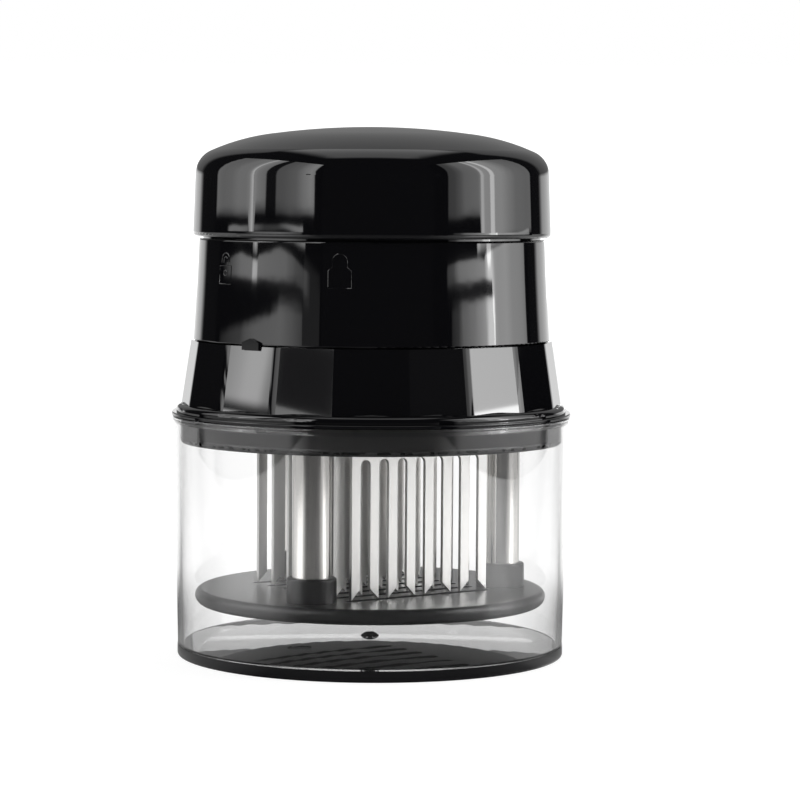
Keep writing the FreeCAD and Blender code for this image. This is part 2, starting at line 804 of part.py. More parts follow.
write("cup_base", make_cup_base())
write("clear_cup", make_clear_cup())
write("lower_housing", make_lower_housing())
write("blade_holder", make_blade_holder())
for number, row in enumerate(comb_rows, 1):
    write("comb_" + str(number), make_comb(row))
write("holder_screws", make_holder_screws())
write("centre_column", make_centre_column())
write("column_screws", make_column_screws())
write("hub_clip", make_hub_clip())
write("spring_plate", make_spring_plate())
write("spring_plate_screw", make_spring_plate_screw())
write("guard_plate", make_guard_plate())
for number, angle in enumerate(post_angles, 1):
    write("post_tube_" + str(number), make_post_tube(angle))
    write("post_stop_" + str(number), make_post_stop(angle))
    write("post_plug_" + str(number), make_post_plug(angle))
    write("return_spring_" + str(number), make_return_spring(angle))
write("post_screws", make_post_screws())
write("barrel", make_barrel())
write("palm_cap", make_palm_cap())
write("lock_disc", make_lock_disc())
write("lock_screws", make_lock_screws())
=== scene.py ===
import math

import bmesh
import bpy
from mathutils import Matrix, Vector


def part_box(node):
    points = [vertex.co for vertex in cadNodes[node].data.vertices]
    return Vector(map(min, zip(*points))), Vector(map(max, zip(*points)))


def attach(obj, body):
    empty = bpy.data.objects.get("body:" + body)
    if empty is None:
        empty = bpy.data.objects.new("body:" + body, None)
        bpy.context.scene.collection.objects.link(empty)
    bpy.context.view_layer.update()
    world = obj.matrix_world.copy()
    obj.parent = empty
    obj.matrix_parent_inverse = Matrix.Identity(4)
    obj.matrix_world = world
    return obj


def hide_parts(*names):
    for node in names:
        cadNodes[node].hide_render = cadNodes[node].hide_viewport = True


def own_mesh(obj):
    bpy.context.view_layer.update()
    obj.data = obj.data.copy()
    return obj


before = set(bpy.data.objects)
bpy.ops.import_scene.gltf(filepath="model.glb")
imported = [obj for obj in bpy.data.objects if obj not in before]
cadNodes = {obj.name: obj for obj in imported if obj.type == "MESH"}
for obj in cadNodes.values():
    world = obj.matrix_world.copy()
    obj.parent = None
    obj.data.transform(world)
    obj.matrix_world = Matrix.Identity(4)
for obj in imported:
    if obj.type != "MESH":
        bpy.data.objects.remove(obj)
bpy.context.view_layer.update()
mm = 0.001


def linear(hexCode):
    # sRGB hex to the linear colour that the sockets take
    parts = [int(hexCode[i:i + 2], 16) / 255 for i in (1, 3, 5)]
    return tuple(p / 12.92 if p <= 0.04045 else ((p + 0.055) / 1.055) ** 2.4 for p in parts) + (1.0,)


def setSockets(tree, node, sockets):
    # each named socket gets a value, an output, or the first output of another node
    for key, value in sockets.items():
        if isinstance(value, bpy.types.Node):
            value = value.outputs[0]
        if isinstance(value, bpy.types.NodeSocket):
            tree.links.new(value, node.inputs[key])
        else:
            node.inputs[key].default_value = value


def addNode(tree, kind, sockets, **settings):
    # one shader node with its settings, values and links
    node = tree.nodes.new("ShaderNode" + kind)
    for key, value in settings.items():
        setattr(node, key, value)
    setSockets(tree, node, sockets)
    return node


def setShader(material, sockets):
    setSockets(material.node_tree, material.node_tree.nodes["Principled BSDF"], sockets)


def newMaterial(name, colour, sockets):
    # a Principled material; the colour is sRGB hex
    material = bpy.data.materials.new(name)
    material.use_nodes = True
    setShader(material, {"Base Color": linear(colour), **sockets})
    return material


def perMetre(sizeInMm):
    # texture scale for a pattern whose features are this many millimetres across
    return 1000.0 / sizeInMm


# the camera stands level with the palm cap and looks a little down; its place is in metres
camera = {
    "place": (0.0, -0.6249, 0.0961),
    "tiltDown": 4.02,
    "roll": 0.33,
    "lens": 137.4,
    "sensor": 36.0,
    "shiftX": 0.036,
    "clipStart": 0.01,
}
view = bpy.data.objects.new("studioCamera", bpy.data.cameras.new("studioCamera"))
bpy.context.scene.collection.objects.link(view)
view.data.lens = camera["lens"]
view.data.sensor_width = camera["sensor"]
view.data.shift_x = camera["shiftX"]
view.data.dof.use_dof = False
view.data.clip_start = camera["clipStart"]
tilt = Matrix.Rotation(math.radians(90.0 - camera["tiltDown"]), 4, "X")
roll = Matrix.Rotation(math.radians(camera["roll"]), 4, "Z")
view.matrix_world = Matrix.Translation(camera["place"]) @ tilt @ roll
bpy.context.scene.camera = view
bpy.context.scene.view_settings.view_transform = "Standard"
print("camera placed")

# a broad lamp behind the object, mirrored at a low angle in its upward faces; the camera doesn't see it
# directly
backLamp = {"distance": 600, "left": -150, "right": 190, "low": 55, "high": 122, "radiance": 0.9}


def makeBackLamp():
    lamp = bpy.data.lights.new("backLamp", "AREA")
    lamp.shape = "RECTANGLE"
    lamp.size = (backLamp["right"] - backLamp["left"]) * mm
    lamp.size_y = (backLamp["high"] - backLamp["low"]) * mm
    lamp.energy = backLamp["radiance"] * math.pi * lamp.size * lamp.size_y
    holder = bpy.data.objects.new("backLamp", lamp)
    bpy.context.scene.collection.objects.link(holder)
    holder.visible_camera = False
    middle = (backLamp["left"] + backLamp["right"]) / 2
    level = (backLamp["low"] + backLamp["high"]) / 2
    holder.location = Vector((middle, backLamp["distance"], level)) * mm
    holder.rotation_euler = (math.radians(-90), 0, 0)


makeBackLamp()

# two walls of softly lit cloth beside the object, in millimetres. "near" and "far" are plan points that a
# wall runs through, and "from" and "to" are its ends, measured along it from "near"
walls = {
    "left": {"near": (-275, -290), "far": (-368, 156), "from": -130, "to": 480},
    "right": {"near": (295, -270), "far": (365, 162), "from": -90, "to": 490},
}
wallEdges = {"foot": 1, "top": 440}

# rows of light on the walls. Each row has its radiance, its low edge and its high edge, all as (place along
# the wall, value) points, and the softness of both edges
lightRows = {
    "left": {
        "tallField": {
            "radiance": [(-80, 0), (-72, 3.4), (-50, 3.8), (-10, 3.0), (30, 1.9), (90, 1.4), (121, 1.3),
                         (127, 0.05), (165, 0.05), (172, 2.4), (205, 2.9), (219, 3.6), (222, 2.6), (225, 6.3),
                         (229, 6.4), (232, 5.2), (236, 4.3), (243, 2.9), (260, 2.4), (300, 2.2), (340, 1.6),
                         (400, 1.25), (455, 1.2), (470, 0)],
            "low": [(-80, 118), (-50, 116.5), (60, 111), (214, 107), (219, 97), (240, 97), (246, 104.5),
                    (390, 103), (470, 102)],
            "high": [(-80, 440), (470, 440)],
            "soft": 2.2,
        },
        "thinStrip": {
            "radiance": [(-45, 0), (-30, 0.4), (-20, 0.9), (40, 1.3), (90, 2.3), (215, 2.5), (222, 6.5),
                         (234, 6.8), (241, 2.6), (300, 2.1), (340, 1.2), (400, 0.3), (430, 0)],
            "low": [(-45, 98.6), (16, 97.5), (114, 93.8), (228, 90), (305, 88), (430, 85)],
            "high": [(-45, 101.6), (18, 101.4), (60, 101.6), (116, 101), (160, 98.6), (212, 96), (220, 94.4),
                     (240, 94.2), (250, 94.6), (310, 93.8), (430, 88)],
            "soft": 0.5,
        },
        "hairStrip": {
            "radiance": [(-12, 0), (-8, 3.8), (30, 3.6), (70, 2.4), (110, 0.7), (170, 0.6), (205, 1.5),
                         (216, 1.5), (219, 0), (242, 0), (246, 2.0), (285, 2.3), (345, 2.0), (362, 0)],
            "low": [(-12, 107), (60, 105), (141, 101.8), (285, 97.8), (362, 96)],
            "high": [(-12, 109.2), (60, 107), (141, 103.8), (285, 100), (362, 98.6)],
            "soft": 0.5,
        },
        "lowField": {
            "radiance": [(-8, 0), (-3, 0.8), (11, 1.0), (60, 1.6), (104, 2.1), (216, 1.7), (260, 1.2),
                         (290, 0.6), (414, 0.15), (440, 0)],
            "low": [(-8, 54), (440, 54)],
            "high": [(-8, 95.8), (11, 95.3), (109, 91), (153, 87), (221, 83), (290, 79), (440, 72)],
            "soft": 1.6,
        },
        "dimPatch": {
            "radiance": [(-115, 0), (-111, 0.22), (-10, 0.22), (-6, 0)],
            "low": [(-115, 84), (-6, 84)],
            "high": [(-115, 104), (-6, 104)],
            "soft": 2.0,
        },
        "footField": {
            "radiance": [(-12, 0), (20, 0.5), (400, 0.5), (440, 0)],
            "low": [(-12, 0), (440, 0)],
            "high": [(-12, 52), (440, 52)],
            "soft": 4.0,
        },
    },
    "right": {
        "tallField": {
            "radiance": [(-8, 0), (-2, 0.75), (30, 0.85), (60, 1.4), (80, 2.0), (140, 2.3), (150, 3.0),
                         (155, 6.5), (163, 6.5), (170, 4.2), (194, 3.9), (198, 8.3), (214, 7.8), (218, 3.9),
                         (250, 3.6), (290, 2.5), (335, 1.6), (420, 1.1), (465, 1.0), (475, 0)],
            "low": [(-8, 112), (30, 110.5), (80, 109.5), (148, 107.5), (151, 98.5), (195, 98), (198, 93.5),
                    (215, 93.5), (218, 97.5), (475, 96)],
            "high": [(-8, 440), (475, 440)],
            "soft": 1.8,
        },
        "thinStrip": {
            "radiance": [(0, 0), (8, 0.8), (40, 1.2), (62, 3.0), (130, 3.6), (186, 4.2), (199, 10.0),
                         (218, 10.0), (230, 5.0), (250, 4.3), (291, 4.1), (330, 3.0), (403, 2.2), (440, 1.6),
                         (450, 0)],
            "low": [(0, 97.6), (18, 96.8), (114, 93.2), (208, 90.3), (220, 89.9), (224, 56), (450, 56)],
            "high": [(0, 101.4), (18, 101), (60, 99.6), (117, 98), (160, 96.8), (185, 95.6), (190, 96.8),
                     (450, 96.8)],
            "soft": 0.4,
        },
        "lowField": {
            "radiance": [(18, 0), (24, 0.3), (55, 0.6), (80, 2.0), (130, 3.0), (184, 5.0), (197, 10.0),
                         (220, 10.0), (226, 5.0), (228, 0)],
            "low": [(18, 56), (228, 56)],
            "high": [(18, 94.4), (112, 90.6), (208, 87.5), (228, 87.1)],
            "soft": 0.5,
        },
        "dimPatch": {
            "radiance": [(-88, 0), (-84, 0.05), (-58, 0.05), (-54, 0)],
            "low": [(-88, 130), (-54, 130)],
            "high": [(-88, 160), (-54, 160)],
            "soft": 2.0,
        },
        "footField": {
            "radiance": [(-12, 0), (20, 0.5), (400, 0.5), (440, 0)],
            "low": [(-12, 0), (440, 0)],
            "high": [(-12, 52), (440, 52)],
            "soft": 4.0,
        },
    },
}

# how far the rows' edges waver, in millimetres: "size" is up the wall, and the pattern is drawn out along it
edgeNoise = {"size": 22.0, "stretch": 0.16, "detail": 2.0, "amount": 1.6}


def wallPoint(side, along):
    # a point at a wall's foot
    near = Vector(walls[side]["near"] + (0,))
    far = Vector(walls[side]["far"] + (0,))
    return near + (far - near).normalized() * along


def wallTurn(side):
    # local X runs along the wall, local Y is up
    run = (wallPoint(side, 1) - wallPoint(side, 0)).normalized()
    rise = Vector((0, 0, 1))
    return Matrix((run, rise, run.cross(rise))).transposed().to_euler()


def flatSheet(name, left, right, low, high):
    # a studio sheet, with its corners in millimetres
    mesh = bpy.data.meshes.new(name)
    corners = [(left, low, 0), (right, low, 0), (right, high, 0), (left, high, 0)]
    mesh.from_pydata([Vector(c) * mm for c in corners], [], [(0, 1, 2, 3)])
    sheet = bpy.data.objects.new(name, mesh)
    bpy.context.scene.collection.objects.link(sheet)
    return sheet


def directRays(tree):
    # 1 for what the camera sees straight or through clear plastic, 0 for reflections and bounced light
    path = addNode(tree, "LightPath", {})
    bounces = addNode(tree, "Math", {0: path.outputs["Glossy Depth"], 1: path.outputs["Diffuse Depth"]},
                      operation="ADD")
    return addNode(tree, "Math", {0: bounces, 1: 0.5}, operation="LESS_THAN")


def curveOf(tree, where, points):
    # a value that follows straight lines between (place, value) points
    start = points[0][0]
    end = points[-1][0]
    low = min(value for _, value in points)
    spread = max(value for _, value in points) - low or 1.0
    share = addNode(tree, "MapRange", {"Value": where, "From Min": start, "From Max": end})
    ramp = addNode(tree, "ValToRGB", {"Fac": share})
    elements = ramp.color_ramp.elements
    while len(elements) < len(points):
        elements.new(0.5)
    for element, (place, value) in zip(elements, points):
        element.position = (place - start) / (end - start)
        level = (value - low) / spread
        element.color = (level, level, level, 1)
    scaled = addNode(tree, "Math", {0: ramp, 1: spread}, operation="MULTIPLY")
    return addNode(tree, "Math", {0: scaled, 1: low}, operation="ADD")


def lightCloth(side):
    # translucent cloth lit from behind in rows with slightly uneven edges; it is clear to the camera
    cloth = bpy.data.materials.new("litCloth" + side.capitalize())
    cloth.use_nodes = True
    tree = cloth.node_tree
    tree.nodes.clear()
    place = addNode(tree, "SeparateXYZ", {"Vector": addNode(tree, "TexCoord", {}).outputs["Object"]})
    along = addNode(tree, "Math", {0: place.outputs["X"], 1: mm}, operation="DIVIDE")
    up = addNode(tree, "Math", {0: place.outputs["Y"], 1: mm}, operation="DIVIDE")
    drawn = addNode(tree, "Math", {0: place.outputs["X"], 1: edgeNoise["stretch"]}, operation="MULTIPLY")
    uneven = addNode(tree, "TexNoise", {
        "Vector": addNode(tree, "CombineXYZ", {"X": drawn, "Y": place.outputs["Y"]}),
        "Scale": perMetre(edgeNoise["size"]), "Detail": edgeNoise["detail"],
    })
    wander = addNode(tree, "Math", {0: uneven, 1: 0.5}, operation="SUBTRACT")
    shift = addNode(tree, "Math", {0: wander, 1: edgeNoise["amount"]}, operation="MULTIPLY")
    height = addNode(tree, "Math", {0: up, 1: shift}, operation="ADD")
    total = 0.0
    for row in lightRows[side].values():
        light = curveOf(tree, along, row["radiance"])
        for edge, soft in (("low", row["soft"]), ("high", -row["soft"])):
            level = curveOf(tree, along, row[edge])
            above = addNode(tree, "Math", {0: height, 1: level}, operation="SUBTRACT")
            inside = addNode(tree, "MapRange", {"Value": above, "From Min": -soft, "From Max": soft},
                             interpolation_type="SMOOTHSTEP")
            light = addNode(tree, "Math", {0: light, 1: inside}, operation="MULTIPLY")
        total = addNode(tree, "Math", {0: total, 1: light}, operation="ADD")
    glow = addNode(tree, "Emission", {"Strength": total})
    clear = addNode(tree, "BsdfTransparent", {})
    addNode(tree, "OutputMaterial", {
        "Surface": addNode(tree, "MixShader", {0: directRays(tree), 1: glow, 2: clear}),
    })
    return cloth


for side, wall in walls.items():
    cloth = flatSheet("studioCloth" + side.capitalize(), wall["from"], wall["to"], wallEdges["foot"],
                      wallEdges["top"])
    cloth.location = wallPoint(side, 0) * mm
    cloth.rotation_euler = wallTurn(side)
    cloth.visible_camera = False
    cloth.data.materials.append(lightCloth(side))

# a small dark cloth hung just in front of a wall keeps the skirt's second flat dark; it glows faintly.
# "outwards" is its distance from the middle as a share of the wall's
flag = {"wall": "left", "from": -46, "to": -20, "low": 128.4, "high": 152, "outwards": 0.99, "glow": 0.15,
        "colour": "#050505"}


def makeFlag():
    cloth = flatSheet("studioFlag", flag["from"], flag["to"], flag["low"], flag["high"])
    cloth.location = wallPoint(flag["wall"], 0) * mm * flag["outwards"]
    cloth.rotation_euler = wallTurn(flag["wall"])
    cloth.visible_camera = False
    cloth.data.materials.append(newMaterial("blackVelvet", flag["colour"], {
        "Roughness": 1.0, "Specular IOR Level": 0.0, "Emission Color": linear("#FFFFFF"),
        "Emission Strength": flag["glow"],
    }))


makeFlag()

# matt paper on the floor. For the camera it glows up to white and keeps the soft shadow round the base. In
# reflections it is bright beside and behind the object and dim in front: "mirrored" follows the direction
# from the object in degrees, with 0 at the front and 90 on the right. "from" and "to" are distances from the
# object in millimetres
floorPaper = {
    "halfWidth": 1200,
    "colour": "#7A7A7A",
    "roughness": 0.9,
    "specular": 0.1,
    "glow": {"near": 0.915, "far": 1.0, "from": 70, "to": 220},
    "mirrorFade": {"near": 0.2, "far": 1.0, "from": 75, "to": 160},
    "mirrored": [(-180, 1.1), (-158, 1.1), (-148, 0.85), (-138, 0.2), (-126, 0.45), (-112, 0.65), (-92, 0.8),
                 (-76, 1.6), (-60, 1.75), (-50, 1.3), (-34, 0.0), (34, 0.0), (46, 0.35), (58, 0.7), (64, 2.0),
                 (75, 2.1), (82, 1.2), (92, 0.75), (112, 0.75), (126, 0.6), (138, 0.35), (148, 0.95),
                 (158, 1.2), (180, 1.2)],
}


def makeFloor():
    half = floorPaper["halfWidth"]
    floor = flatSheet("studioFloor", -half, half, -half, half)
    paper = newMaterial("mattPaper", floorPaper["colour"], {
        "Roughness": floorPaper["roughness"], "Specular IOR Level": floorPaper["specular"],
        "Emission Color": linear("#FFFFFF"),
    })
    tree = paper.node_tree
    place = addNode(tree, "TexCoord", {}).outputs["Object"]
    reach = addNode(tree, "VectorMath", {0: place}, operation="LENGTH").outputs["Value"]
    byReach = {}
    for name in ("glow", "mirrorFade"):
        fade = floorPaper[name]
        byReach[name] = addNode(tree, "MapRange", {
            "Value": reach, "From Min": fade["from"] * mm, "From Max": fade["to"] * mm,
            "To Min": fade["near"], "To Max": fade["far"],
        }, interpolation_type="SMOOTHSTEP")
    direct = directRays(tree)
    seen = addNode(tree, "Math", {0: direct, 1: byReach["glow"]}, operation="MULTIPLY")
    split = addNode(tree, "SeparateXYZ", {"Vector": place})
    forward = addNode(tree, "Math", {0: split.outputs["Y"], 1: -1.0}, operation="MULTIPLY")
    turned = addNode(tree, "Math", {0: split.outputs["X"], 1: forward}, operation="ARCTAN2")
    beside = curveOf(tree, turned, [(math.radians(angle), level) for angle, level in floorPaper["mirrored"]])
    beside = addNode(tree, "Math", {0: beside, 1: byReach["mirrorFade"]}, operation="MULTIPLY")
    # only reflections show that glow: neither what is seen directly nor light bounced off matt surfaces
    path = addNode(tree, "LightPath", {})
    bounced = addNode(tree, "Math", {0: path.outputs["Diffuse Depth"], 1: 0.5}, operation="GREATER_THAN")
    indirect = addNode(tree, "Math", {0: 1.0, 1: direct}, operation="SUBTRACT")
    mirrored = addNode(tree, "Math", {0: indirect, 1: bounced}, operation="SUBTRACT")
    reflected = addNode(tree, "Math", {0: mirrored, 1: beside}, operation="MULTIPLY")
    setShader(paper, {"Emission Strength": addNode(tree, "Math", {0: seen, 1: reflected}, operation="ADD")})
    floor.data.materials.append(paper)


makeFloor()

# the room: pale behind the object, dark elsewhere, plain white wherever the camera looks straight at it. Its
# angles are in degrees. "left" and "right" say where it is dark and where it is pale, sideways from straight
# behind, and "levels" are (angle above the floor, brightness) points
room = {
    "left": (41, 31),
    "right": (46, 38),
    "levels": [(0.0, 1.25), (1.8, 1.2), (4.0, 0.22), (16.0, 0.3), (32.0, 0.36), (42.0, 0.40), (47.0, 0.40),
               (51.0, 0.0), (90.0, 0.0)],
    "darkness": 0.012,
}

# a large soft light overhead; its limits are slopes sideways and backwards for one unit up, and directions
# that rise less than "lowest" count as that steep
overhead = {
    "sideways": (-0.34, 0.34),
    "backwards": (-0.25, 0.84),
    "soft": 0.1,
    "level": 1.12,
    "lowest": 0.05,
}


def makeRoom():
    world = bpy.data.worlds.new("studioRoom")
    bpy.context.scene.world = world
    world.use_nodes = True
    tree = world.node_tree
    aim = addNode(tree, "SeparateXYZ", {"Vector": addNode(tree, "TexCoord", {}).outputs["Generated"]}).outputs
    turned = addNode(tree, "Math", {0: aim["X"], 1: aim["Y"]}, operation="ARCTAN2")
    height = addNode(tree, "Math", {0: aim["Z"]}, operation="ARCSINE")
    light = curveOf(tree, height, [(math.radians(angle), level) for angle, level in room["levels"]])
    for sign, side in ((-1, "left"), (1, "right")):
        dark, pale = [sign * math.radians(angle) for angle in room[side]]
        behind = addNode(tree, "MapRange", {"Value": turned, "From Min": dark, "From Max": pale},
                         interpolation_type="SMOOTHSTEP")
        light = addNode(tree, "Math", {0: light, 1: behind}, operation="MULTIPLY")
    top = overhead["level"]
    up = addNode(tree, "Math", {0: aim["Z"], 1: overhead["lowest"]}, operation="MAXIMUM")
    for axis, (low, high) in (("X", overhead["sideways"]), ("Y", overhead["backwards"])):
        slope = addNode(tree, "Math", {0: aim[axis], 1: up}, operation="DIVIDE")
        for edge, soft in ((low, overhead["soft"]), (high, -overhead["soft"])):
            inside = addNode(tree, "MapRange", {
                "Value": slope, "From Min": edge - soft, "From Max": edge + soft,
            }, interpolation_type="SMOOTHSTEP")
            top = addNode(tree, "Math", {0: top, 1: inside}, operation="MULTIPLY")
    for other in (top, room["darkness"], directRays(tree)):
        light = addNode(tree, "Math", {0: light, 1: other}, operation="MAXIMUM")
    setSockets(tree, tree.nodes["Background"], {"Color": light})


makeRoom()
print("studio lit")

# injection-moulded black ABS in three finishes, with grain and depth in millimetres. Gloss is near black,
# with a sharp reflection and a faint moulded waviness. Satin is for the inner mouldings. The guard plate has a
# fine matt texture from its mould and is a little greyer. The grain of these two is drawn coarser than the
# real one, so that it shows
blackAbs = {
    "ior": 1.54,
    "gloss": {"colour": "#0B0B0D", "roughness": 0.03, "grain": 7.0, "detail": 2.0,
              "bump": 0.004, "depth": 1.0},
    "satin": {"colour": "#121214", "roughness": 0.35, "grain": 0.4, "detail": 3.0,
              "bump": 0.1, "depth": 0.1},
    "matt": {"colour": "#1E1E20", "roughness": 0.33, "grain": 0.5, "detail": 2.0,
             "bump": 0.08, "depth": 0.1},
}


def mouldedAbs(name, look):
    plastic = newMaterial(name, look["colour"], {"Roughness": look["roughness"], "IOR": blackAbs["ior"]})
    tree = plastic.node_tree
    grain = addNode(tree, "TexNoise", {
        "Vector": addNode(tree, "TexCoord", {}).outputs["Object"], "Scale": perMetre(look["grain"]),
        "Detail": look["detail"],
    })
    setShader(plastic, {"Normal": addNode(tree, "Bump", {
        "Height": grain, "Strength": look["bump"], "Distance": look["depth"] * mm,
    })})
    return plastic


glossAbs = mouldedAbs("mouldedGlossBlackAbs", blackAbs["gloss"])
satinAbs = mouldedAbs("mouldedSatinBlackAbs", blackAbs["satin"])
guardAbs = mouldedAbs("mouldedFineMattAbs", blackAbs["matt"])

# the lower housing, in millimetres: gloss outside, and matt on its spigot, which has a painted lighter grey
# standing in for the light on it behind the cup's wall; it turns to gloss over "blend" from "underRim" below
# the cup's rim. A broken dark line without reflection is drawn just above the spigot's lower edge. It starts
# "above" that edge and is "height" tall, "dash" is the size of its dashes, and a higher "gaps" leaves more of
# it out
housing = {
    "underRim": 0.2,
    "blend": 0.3,
    "spigotPaintedLight": "#434243",
    "spigotRoughness": 0.36,
    "specular": 0.5,
    "line": {"above": 0.4, "height": 0.5, "dash": 1.6, "detail": 1.0, "gaps": 0.54},
}


def mouldedHousing():
    gloss = blackAbs["gloss"]
    plastic = newMaterial("glossAbsWithPaintedSpigotLight", gloss["colour"], {"IOR": blackAbs["ior"]})
    tree = plastic.node_tree
    place = addNode(tree, "TexCoord", {}).outputs["Object"]
    level = addNode(tree, "SeparateXYZ", {"Vector": place}).outputs["Z"]
    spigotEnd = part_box("clear_cup")[1][2] - housing["underRim"] * mm
    glossStart = spigotEnd + housing["blend"] * mm
    roughness = addNode(tree, "MapRange", {
        "Value": level, "From Min": spigotEnd, "From Max": glossStart,
        "To Min": housing["spigotRoughness"], "To Max": gloss["roughness"],
    })
    # painted light: the spigot's lighter grey stands in for the light on it behind the cup's wall
    colourAndSpigotLight = addNode(tree, "ValToRGB", {
        "Fac": addNode(tree, "MapRange", {"Value": level, "From Min": spigotEnd, "From Max": glossStart}),
    })
    colourAndSpigotLight.color_ramp.elements[0].color = linear(housing["spigotPaintedLight"])
    colourAndSpigotLight.color_ramp.elements[1].color = linear(gloss["colour"])
    line = housing["line"]
    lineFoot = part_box("lower_housing")[0][2] + line["above"] * mm
    above = addNode(tree, "Math", {0: level, 1: lineFoot}, operation="GREATER_THAN")
    below = addNode(tree, "Math", {0: level, 1: lineFoot + line["height"] * mm}, operation="LESS_THAN")
    band = addNode(tree, "Math", {0: above, 1: below}, operation="MULTIPLY")
    marks = addNode(tree, "TexNoise", {
        "Vector": place, "Scale": perMetre(line["dash"]), "Detail": line["detail"],
    })
    broken = addNode(tree, "Math", {0: marks, 1: line["gaps"]}, operation="GREATER_THAN")
    dashes = addNode(tree, "Math", {0: band, 1: broken}, operation="MULTIPLY")
    clean = addNode(tree, "Math", {0: 1.0, 1: dashes}, operation="SUBTRACT")
    setShader(plastic, {
        "Base Color": addNode(tree, "VectorMath", {0: colourAndSpigotLight, "Scale": clean}, operation="SCALE"),
        "Roughness": roughness,
        "Specular IOR Level": addNode(tree, "Math", {0: clean, 1: housing["specular"]}, operation="MULTIPLY"),
    })
    return plastic


housingAbs = mouldedHousing()

# clear moulded polystyrene: colourless, polished inside and out
clearStyrene = newMaterial("mouldedClearPolystyrene", "#FFFFFF", {
    "Roughness": 0.0, "IOR": 1.55, "Transmission Weight": 1.0,
})

# stamped and polished stainless strip: fine polishing marks soften its reflection
stampedSteel = newMaterial("stampedStainlessStrip", "#E4E3E1", {"Metallic": 1.0, "Roughness": 0.28})

# drawn and polished stainless tube: bright, with a clear reflection
drawnSteel = newMaterial("drawnStainlessTube", "#DEDCD9", {"Metallic": 1.0, "Roughness": 0.12})

# tempered spring wire: greyed by its heat treatment
springWire = newMaterial("temperedSpringWire", "#9A9894", {"Metallic": 1.0, "Roughness": 0.3})

# zinc-plated steel of the screws: bright and slightly blue
zincPlate = newMaterial("zincPlatedSteel", "#C9CACC", {"Metallic": 1.0, "Roughness": 0.25})

# the screws under the guard plate: steel painted dark as shade, so that they stay dark in the cup floor's
# mirror image
shadedScrewSteel = newMaterial("screwSteelPaintedShade", "#242426", {"Metallic": 1.0, "Roughness": 0.4})

finishes = {
    "black_gloss": glossAbs,
    "black_base": glossAbs,
    "black_inner": satinAbs,
    "clear_plastic": clearStyrene,
    "blade_steel": stampedSteel,
    "tube_steel": drawnSteel,
    "spring_steel": springWire,
    "screw_steel": zincPlate,
}
ownFinishes = {"guard_plate": guardAbs, "lower_housing": housingAbs, "post_screws": shadedScrewSteel}
for name, node in cadNodes.items():
    for holder in node.material_slots:
        holder.material = ownFinishes.get(name, finishes[holder.material.name.split(".")[0]])
print("materials given")

sharpEdge = 40.0  # degrees; a piece's flatter edges are shaded smooth


def newPiece(name, vertices, faces, material):
    # a mesh object from points in millimetres
    mesh = bpy.data.meshes.new(name)
    mesh.from_pydata([Vector(v) * mm for v in vertices], [], faces)
    bm = bmesh.new()
    bm.from_mesh(mesh)
    bmesh.ops.recalc_face_normals(bm, faces=bm.faces)
    bm.to_mesh(mesh)
    bm.free()
    mesh.shade_smooth()
    mesh.set_sharp_from_angle(angle=math.radians(sharpEdge))
    mesh.materials.append(material)
    piece = bpy.data.objects.new(name, mesh)
    bpy.context.scene.collection.objects.link(piece)
    return piece


# clear cup: one turned shell, in millimetres. Its foot ring sits in the black base, and a hair of air under
# its floor lets light run there. The floor is domed, and "domeShares" are its rings as shares of its radius.
# An edge over "longEdge" gets extra points "hold" from its ends, so that smooth shading leaves its middle true
cup = {
    "wall": 1.1,
    "draft": 0.9,
    "floor": 1.3,
    "floorDome": 1.0,
    "domeShares": (0.94, 0.85, 0.75, 0.65, 0.55, 0.45, 0.35, 0.25, 0.15),
    "hole": 1.25,  # radius, for the base's stake
    "airGap": 0.03,
    "seat": 0.02,  # how far the foot ring sinks into the base
    "seatWidth": 6.0,
    "seatSlope": 0.1,
    "lip": 0.3,
    "lipHeight": 1.0,
    "lipCorner": {"radius": 0.3, "lowSteps": 3, "topSteps": 4},
    "footCorner": {"radius": 0.06, "steps": 3},
    "innerCorner": {"radius": 0.08, "steps": 6},
    "hold": 0.05,
    "longEdge": 0.4,
    "steps": 192,
}


def arc(centreR, centreZ, radius, fromAngle, toAngle, count):
    # points of a round edge in the half section, angles from the outward direction
    turns = [math.radians(fromAngle + (toAngle - fromAngle) * i / count) for i in range(count + 1)]
    return [(centreR + radius * math.cos(t), centreZ + radius * math.sin(t)) for t in turns]


def held(section):
    # adds the points near the ends of long edges
    points = []
    for i, start in enumerate(section):
        end = section[(i + 1) % len(section)]
        points.append(start)
        length = math.dist(start, end)
        if length > cup["longEdge"]:
            for share in (cup["hold"] / length, 1 - cup["hold"] / length):
                points.append(tuple(a + (b - a) * share for a, b in zip(start, end)))
    return points


def turnedShell(name, section, steps, material):
    # a closed half section of (radius, height) points turned round the Z axis
    vertices = []
    faces = []
    count = len(section)
    for i in range(steps):
        angle = 2 * math.pi * i / steps
        vertices += [(r * math.cos(angle), r * math.sin(angle), z) for r, z in section]
    for i in range(steps):
        here = i * count
        ahead = (i + 1) % steps * count
        for j in range(count):
            k = (j + 1) % count
            faces.append((here + j, ahead + j, ahead + k, here + k))
    return newPiece(name, vertices, faces, material)


